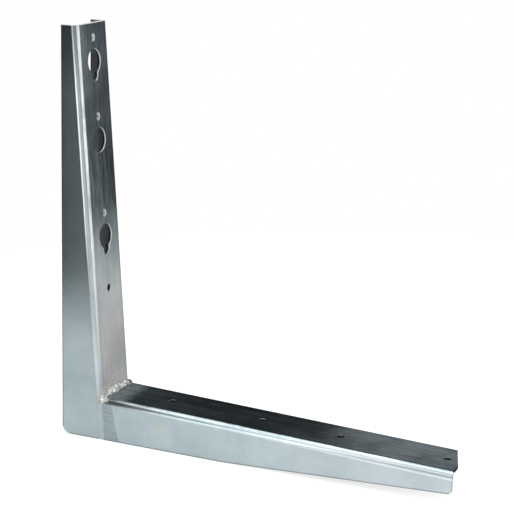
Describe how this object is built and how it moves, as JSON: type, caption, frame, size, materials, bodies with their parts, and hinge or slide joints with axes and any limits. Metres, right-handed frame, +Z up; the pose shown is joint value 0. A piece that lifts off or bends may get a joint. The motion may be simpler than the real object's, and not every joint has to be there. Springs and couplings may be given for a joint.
{
  "type": "bench bracket",
  "caption": "L-shaped bench bracket of two tapered steel channels welded at the corner, with keyholes and screw holes for a wall and a board.",
  "frame": {"origin": "bottom centre of the bracket's box: half way between the wall edge and the tip, midway between the side plates, at the arm's lower edge", "axes": "+X from the wall out along the arm, +Y across the width to the far side plate, +Z up the upright"},
  "size_m": [0.347, 0.052, 0.35],
  "materials": {
    "steel": "bright zinc over brushed sheet",
    "weld": "as-welded bead",
    "ground_weld": "ground flush"
  },
  "bodies": {
    "root": {"upright_channel": "steel", "arm_channel": "steel", "corner_weld": "weld", "near_seam_weld": "ground_weld", "far_seam_weld": "ground_weld"}
  },
  "joints": []
}
